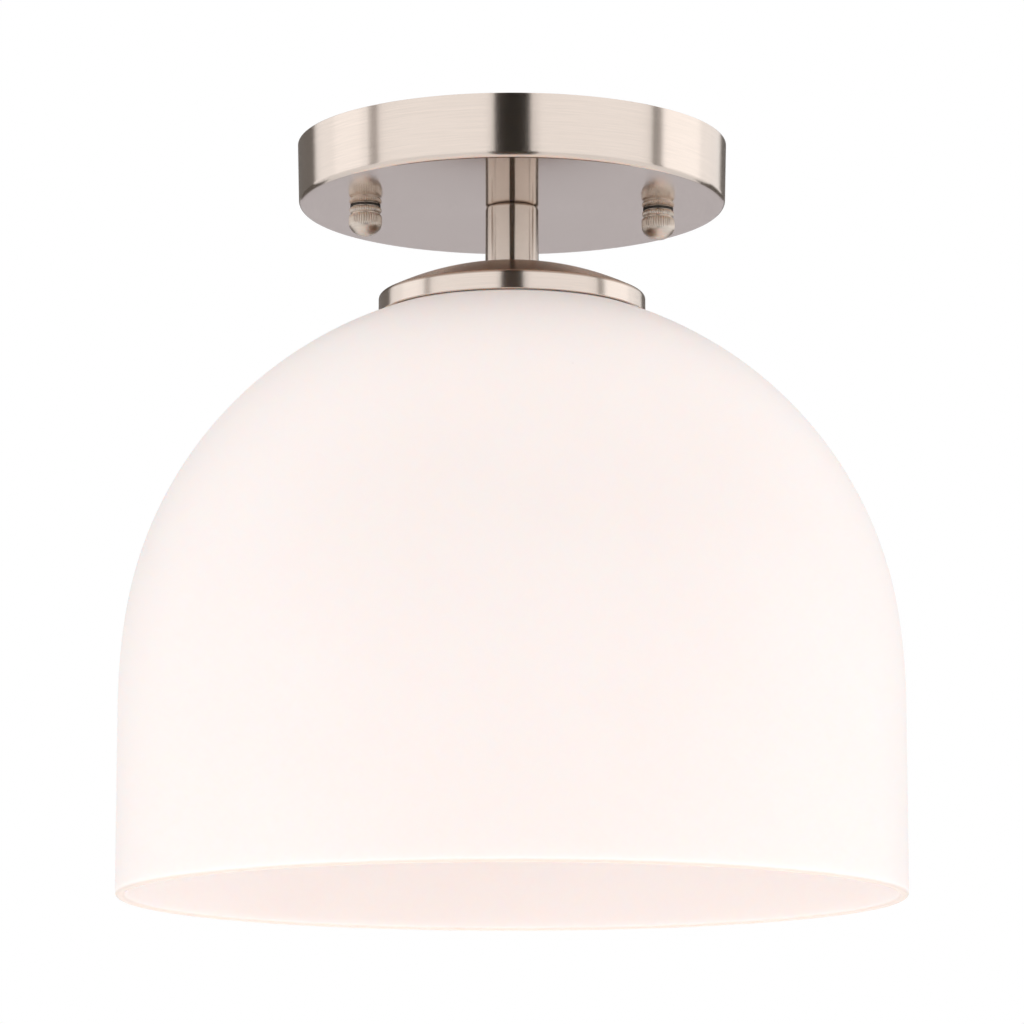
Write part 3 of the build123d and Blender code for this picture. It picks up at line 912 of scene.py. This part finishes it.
def make_holder():
    """The spun cap: flat seat under the stem, shallow dome, soft shoulder and upright band."""
    outline = [(pipe_hole, holder_top)]
    steps = 22
    edge = 1.2 * mm
    shoulder = holder_radius - edge
    across = [holder_seat + (shoulder - holder_seat) * n / steps for n in range(steps + 1)]
    outline += [(r, dome_height(r, holder_dome)) for r in across]
    band_top = dome_height(holder_radius, holder_dome)
    start = atan2(shoulder, sqrt(holder_dome**2 - shoulder**2))
    for step in range(1, 9):
        turn = start + (pi / 2 - start) * step / 8
        outline.append((shoulder + edge * (sin(turn) - sin(start)) / (1 - sin(start)),
                        dome_height(shoulder, holder_dome) - edge * 1.15 * (cos(start) - cos(turn))))
    outline += rounded(
        [
            (holder_radius, band_top - 2.5 * mm, 0),
            (holder_radius, holder_rim, 0.35 * mm),
            (holder_radius - holder_wall, holder_rim, 0.35 * mm),
            (holder_radius - holder_wall, band_top - 1.6 * mm, 0),
        ]
    )
    inner = holder_dome - holder_wall
    reach = holder_radius - holder_wall
    across = [reach * (1 - n / 12) + pipe_hole * n / 12 for n in range(13)]
    outline += [(r, dome_height(r, inner)) for r in across]
    # The holder's dome above its band is painted dark brown, a painted reflection of the canopy's
    # underside.
    finish = brushed_nickel("holder_nickel", 3.0, 0.24, 4200.0, painted_reflection_above=band_top - 0.6 * mm)
    piece("holder_cap", [turned(outline, 224)], finish, "fixture", "shade_holder")


# --- glass shade --------------------------------------------------------------------------------
shade_radius = radius_of("glass_shade")
shade_rim = bottom_of("glass_shade")
shade_top = top_of("glass_shade")
shade_equator = -186.3 * mm
shade_wall = 3.1 * mm
shade_hole = 21.0 * mm
shade_seat = 27.0 * mm
haunch_radius, haunch_turn = 203.0 * mm, 8.0
side_radius, side_turn = 124.9 * mm, 56.0
crown_radius = 133.2 * mm
skirt_shown = 58.0 * mm         # of straight skirt above the rounded rim


def from_centre(centre, radius, turn):
    return (centre[0] + radius * cos(radians(turn)), centre[1] + radius * sin(radians(turn)))


def dome_arc(centre, radius, start, end, steps):
    return [from_centre(centre, radius, start + (end - start) * n / steps) for n in range(steps + 1)]


def make_shade():
    """The bell: three tangent arcs and a straight skirt, one wall thick, ground at hole and rim."""
    haunch = (shade_radius - haunch_radius, shade_equator)
    side = from_centre(haunch, haunch_radius - side_radius, haunch_turn)
    crown = from_centre(side, side_radius - crown_radius, side_turn)
    crown_turn = degrees(acos((shade_seat - crown[0]) / crown_radius))
    walls = []
    for inset in (0.0, shade_wall):
        wall = [(shade_radius - inset, shade_equator - skirt_shown * (1 - n / 8)) for n in range(8)]
        wall += dome_arc(haunch, haunch_radius - inset, 0.0, haunch_turn, 8)
        wall += dome_arc(side, side_radius - inset, haunch_turn, side_turn, 32)[1:]
        wall += dome_arc(crown, crown_radius - inset, side_turn, crown_turn, 16)[1:]
        walls.append(wall)
    outside, inside = walls
    rim = rounded(
        [
            (inside[0][0], inside[0][1], 0),
            (inside[0][0], shade_rim, 1.2 * mm),
            (outside[0][0], shade_rim, 1.4 * mm),
            (outside[0][0], outside[0][1], 0),
        ],
        8,
    )
    hole = rounded(
        [
            (outside[-1][0], shade_top, 0),
            (shade_hole, shade_top, 0.3 * mm),
            (shade_hole, inside[-1][1], 0.3 * mm),
            (inside[-1][0], inside[-1][1], 0),
        ]
    )
    outline = rim[1:-1] + outside + hole[1:-1] + inside[::-1]
    piece("glass_bell", [turned(outline, 320)], opal_glass(shade_rim), "shade",
          "glass_shade")


# --- lampholder ---------------------------------------------------------------------------------
bulb_pitch = 25.4 / 7 * mm
bulb_thread = 0.75 * mm         # depth of the screw that the shell and the bulb's cap share


def make_lampholder(black, brass):
    """The moulded body with its screwed barrel, and the brass shell that takes the bulb."""
    under = top_of("upper_gasket")
    shoulder_top = under + 3.0 * mm
    shoulder = radius_of("socket_body")
    barrel = 19.2 * mm
    mouth = bottom_of("socket_body")
    pocket = 14.2 * mm
    floor = -62.0 * mm
    hub = 9.05 * mm
    hub_low = bottom_of("socket_hub")
    ring_pitch = 2.0 * mm
    outline = divided(
        rounded(
            [
                (hub, shoulder_top, 0.2 * mm),
                (shoulder, shoulder_top, 0.8 * mm),
                (shoulder, under, 0.3 * mm),
                (barrel, under, 0),
                (barrel, mouth, 0.8 * mm),
                (pocket, mouth, 0.8 * mm),
                (pocket, floor, 0),
                (0.0, floor, 0),
                (0.0, floor + 4.5 * mm, 0),
                (6.0 * mm, floor + 4.5 * mm, 0),
                (6.0 * mm, hub_low, 0),
                (hub, hub_low, 0),
            ],
            5,
        ),
        0.3 * mm,
    )
    cut = thread(barrel, ring_pitch, 0.7 * mm, under - 2.0 * mm, mouth + 1.5 * mm, 0.8)
    piece("socket_moulding", [turned(outline, 96, 0.0, cut)], black, "fixture",
          "socket_body")

    shell = radius_of("screw_shell")
    low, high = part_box("screw_shell")
    wall = 0.45 * mm
    steps = 90
    outer = [(shell, high[2] + (low[2] - high[2]) * n / steps) for n in range(steps + 1)]
    inner = [(shell - wall, z) for _, z in outer[:1:-1]]
    outline = [(8.0 * mm, high[2])] + outer + inner
    outline += [(shell - wall, high[2] - wall), (8.0 * mm, high[2] - wall)]

    def rolled(angle, r, z):
        if r < shell - wall - 0.01 * mm:
            return r
        fade = part_way((high[2] - 3.0 * mm - z) / bulb_pitch) * part_way((z - low[2]) / (1.5 * mm))
        return r - bulb_thread * fade * winding(angle, z, bulb_pitch)

    piece("threaded_shell", [turned(outline, 96, 0.0, rolled)], brass, "fixture",
          "screw_shell", 50.0)


def make_shade_ring(black):
    """The ring that clamps the glass: a flange above a barrel with finger grooves."""
    low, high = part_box("shade_ring")
    flange = radius_of("shade_ring")
    grip = 23.6 * mm
    bore = 19.5 * mm
    grooves = 20
    cutter = 1.6 * mm
    outline = divided(
        rounded(
            [
                (bore, high[2], 0.4 * mm),
                (flange, high[2], 0.5 * mm),
                (flange, high[2] - 2.5 * mm, 0.5 * mm),
                (grip, high[2] - 2.5 * mm, 0.3 * mm),
                (grip, low[2], 0.8 * mm),
                (bore, low[2], 0.4 * mm),
            ],
            4,
        ),
        0.6 * mm,
    )

    def gripped(angle, r, z):
        if r < grip - 0.9 * mm or z > high[2] - 2.4 * mm or r > grip + 0.1 * mm:
            return r
        across = ((angle / tau * grooves) % 1.0 - 0.5) * tau / grooves * grip
        dip = sqrt(max(0.0, cutter**2 - across**2)) - 0.7 * mm
        return r - max(0.0, dip)

    piece("ring_moulding", [turned(outline, grooves * 16, 0.0, gripped)], black, "ring",
          "shade_ring", 35.0)


# --- bulb ---------------------------------------------------------------------------------------
def make_bulb():
    """The rolled cap, and a globe that runs down to it in a hollow curve."""
    base = radius_of("bulb_base")
    low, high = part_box("bulb_base")
    taper = 10.6 * mm
    crown = high[2] - 2.4 * mm
    steps = 100
    outer = [(base, crown + (low[2] - crown) * n / steps) for n in range(steps + 1)]
    inner = [(base - 0.5 * mm, z) for _, z in outer[::-1]]
    outline = [(taper - 0.5 * mm, high[2]), (taper, high[2])] + outer + inner

    def rolled(angle, r, z):
        if r < base - 0.6 * mm:
            return r
        fade = part_way((crown - 0.4 * mm - z) / (1.2 * mm))
        fade *= part_way((z - low[2] - 1.2 * mm) / (1.8 * mm))
        return r - bulb_thread * fade * winding(angle, z, bulb_pitch)

    piece("bulb_cap", [turned(outline, 96, 0.0, rolled)], rolled_aluminium(), "bulb",
          "bulb_base", 50.0)

    globe = radius_of("bulb_glass")
    bottom, top = bottom_of("bulb_glass"), top_of("bulb_glass")
    neck = 13.2 * mm
    flare = 45.0 * mm
    centre = bottom + globe
    reach = sqrt((globe + flare) ** 2 - (neck + flare) ** 2)
    meet = asin(reach / (globe + flare))
    tuck = base - 0.6 * mm
    outline = [(tuck, top), (tuck, low[2] + 0.1 * mm), (neck - 0.1 * mm, low[2] - 0.3 * mm)]
    outline += [
        (neck + flare - flare * cos(meet * n / 14), centre + reach - flare * sin(meet * n / 14))
        for n in range(15)
    ]
    turns = [meet - (meet + pi / 2) * n / 40 for n in range(1, 41)]
    outline += [(globe * cos(turn), centre + globe * sin(turn)) for turn in turns]
    inset = 0.8 * mm
    outline += [(0.0, bottom + inset)]
    turns = [(pi / 2 + meet) * n / 24 for n in range(1, 25)]
    outline += [((globe - inset) * sin(turn), centre - (globe - inset) * cos(turn)) for turn in turns]
    outline += [(neck - inset, centre + reach), (tuck - inset, top)]
    piece("bulb_globe", [turned(outline, 128)], frosted_bulb(), "bulb", "bulb_glass")


# --- pieces that keep their CAD shape and get a finish ------------------------------------------
def dress(material, *nodes):
    """Gives CAD nodes one finish in place of their own."""
    for node in nodes:
        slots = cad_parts[node].data.materials
        slots.clear()
        slots.append(material)


# --- stage --------------------------------------------------------------------------------------
floor_height = -0.75
floor_half = 9.0
flag_reach = 1.3                # how far the cards stand from the light's axis
flag_foot = -0.74
sky_light = 0.97                # the world's strength as light on the object


def stage_sheet(name, corners, material):
    """One flat face that belongs to the stage and not to the light."""
    mesh = bpy.data.meshes.new(name)
    mesh.from_pydata(corners, [], [tuple(range(len(corners)))])
    mesh.materials.append(material)
    made = bpy.data.objects.new(name, mesh)
    bpy.context.scene.collection.objects.link(made)
    return made


def make_floor():
    paint = Paint("pale_floor")
    cloud = paint.noise(paint.place(), 0.6, 3.0)
    finish = paint.finish(
        Base_Color=paint.mix(cloud, (0.72, 0.72, 0.72), (0.76, 0.76, 0.76)),
        Roughness=0.85,
        Specular_IOR_Level=0.2,
    )
    corners = [(x * floor_half, y * floor_half, floor_height)
               for x, y in ((-1, -1), (1, -1), (1, 1), (-1, 1))]
    stage_sheet("floor", corners, finish)


def make_flag(name, azimuth, half_turn, low, high, tone, foot):
    """A card that only reflections see. Azimuth turns from the camera towards +X.

    foot draws the card's lower edge in towards the light.
    """
    finish = Paint(f"{name}_card").finish(Base_Color=tone, Roughness=1.0, Specular_IOR_Level=0.0)
    corners = []
    for end, reach, z in (
        (-half_turn, flag_reach - foot, low),
        (half_turn, flag_reach - foot, low),
        (half_turn, flag_reach, high),
        (-half_turn, flag_reach, high),
    ):
        turn = radians(azimuth + end) - camera_turn
        corners.append((reach * sin(turn), -reach * cos(turn), z))
    card = stage_sheet(name, corners, finish)
    card.visible_camera = False
    card.visible_diffuse = False
    card.visible_transmission = False
    card.visible_shadow = False


def make_softbox(name, azimuth, radiance, mirrored, width=0.7, height=1.8, reach=1.8, z=0.3):
    """A lamp panel, aimed at the light, that metal mirrors or not."""
    data = bpy.data.lights.new(name, "AREA")
    data.shape = "RECTANGLE"
    data.size = width
    data.size_y = height
    data.energy = radiance * pi * width * height
    lamp = bpy.data.objects.new(name, data)
    turn = radians(azimuth) - camera_turn
    lamp.location = (reach * sin(turn), -reach * cos(turn), z)
    aim = Vector((0.0, 0.0, -0.12)) - lamp.location
    lamp.rotation_euler = aim.to_track_quat("-Z", "Y").to_euler()
    lamp.visible_glossy = mirrored
    bpy.context.scene.collection.objects.link(lamp)


def make_underlight(radiance, size=1.2):
    """A panel on the floor that lights the inside of the bell and is not seen itself."""
    data = bpy.data.lights.new("underlight", "AREA")
    data.size = size
    data.energy = radiance * pi * size**2
    lamp = bpy.data.objects.new("underlight", data)
    lamp.location = (0.0, 0.0, floor_height + 0.03)
    lamp.rotation_euler = (pi, 0.0, 0.0)
    lamp.visible_glossy = False
    lamp.visible_camera = False
    bpy.context.scene.collection.objects.link(lamp)


def make_sky():
    """White to the camera and in reflections, and nearly so as light on the object."""
    world = bpy.data.worlds.new("studio")
    bpy.context.scene.world = world
    sky = Paint("studio", world)
    seen = [sky.node("ShaderNodeLightPath", None, None, f"Is {ray} Ray")
            for ray in ("Camera", "Glossy", "Transmission")]
    white = seen[0].math("MAXIMUM", seen[0].math("MAXIMUM", seen[0], seen[1]), seen[2])
    strength = white * (1.0 - sky_light) + sky_light
    shine = sky.node("ShaderNodeBackground", None, {"Color": (1.0, 1.0, 1.0), "Strength": strength})
    sky.node("ShaderNodeOutputWorld", None, {"Surface": shine})


# --- the whole light ----------------------------------------------------------------------------
zinc = zinc_plate("zinc")
moulding = phenolic("black_phenolic")
brass = sheet_brass("brass_sheet")
fibre = soft_sheet("dark_fibre", (0.055, 0.048, 0.042), (0.028, 0.024, 0.021), 0.75)
silicone = soft_sheet("grey_silicone", (0.60, 0.58, 0.55), (0.52, 0.50, 0.47), 0.55)
nylon = soft_sheet("white_nylon", (0.84, 0.83, 0.79), (0.80, 0.78, 0.73), 0.42)

make_canopy()
make_cap_nut("left", -stud_x)
make_cap_nut("right", stud_x)
make_crossbar(zinc)
make_studs(zinc)
make_ground_screw()
make_nipple(zinc)
make_stem()
make_holder()
make_shade()
make_lampholder(moulding, brass)
make_shade_ring(moulding)
make_bulb()

dress(zinc, "ground_cup_washer", "star_washer", "socket_hub", "hub_set_screw")
dress(nylon, "wire_bushing")
dress(brass, "centre_contact", "contact_rivets")
dress(silicone, "upper_gasket")
dress(fibre, "lower_washer", "left_nut_washer", "right_nut_washer")
dress(pressed_black_glass(), "bulb_insulator")
dress(solder_tip(), "bulb_contact")

make_floor()
make_sky()
for name, azimuth, half_turn, low, high, tone, foot in (
    ("front", 0.2, 9.3, 0.0, 6.0, (0.012, 0.011, 0.010), 0.0),
    ("front_low", 1.0, 12.5, flag_foot, 0.0, (0.045, 0.038, 0.030), 1.2),
    ("left", -77.0, 3.0, -0.2, 1.6, (0.34, 0.32, 0.31), 0.0),
    ("right", 81.5, 3.4, -0.2, 1.6, (0.20, 0.19, 0.18), 0.0),
    ("back", 189.5, 42.0, 0.0, 1.6, (0.16, 0.15, 0.14), 0.0),
    ("low", 180.0, 24.0, flag_foot, 0.0, (0.485, 0.472, 0.496), 0.0),
    ("low_left", -142.0, 14.0, flag_foot, 0.0, (0.10, 0.09, 0.08), 0.0),
    ("low_right", 142.0, 14.0, flag_foot, 0.0, (0.10, 0.09, 0.08), 0.0),
):
    make_flag(f"flag_{name}", azimuth, half_turn, low, high, tone, foot)
make_softbox("side_left", -97.0, 0.12, True)
make_softbox("side_right", 103.0, 0.20, True, 1.0)
for side, hand in (("left", -1), ("right", 1)):
    make_softbox(f"fill_{side}", hand * 68.0, 0.74, False)
make_underlight(1.12)

bpy.context.scene.view_settings.view_transform = "Standard"
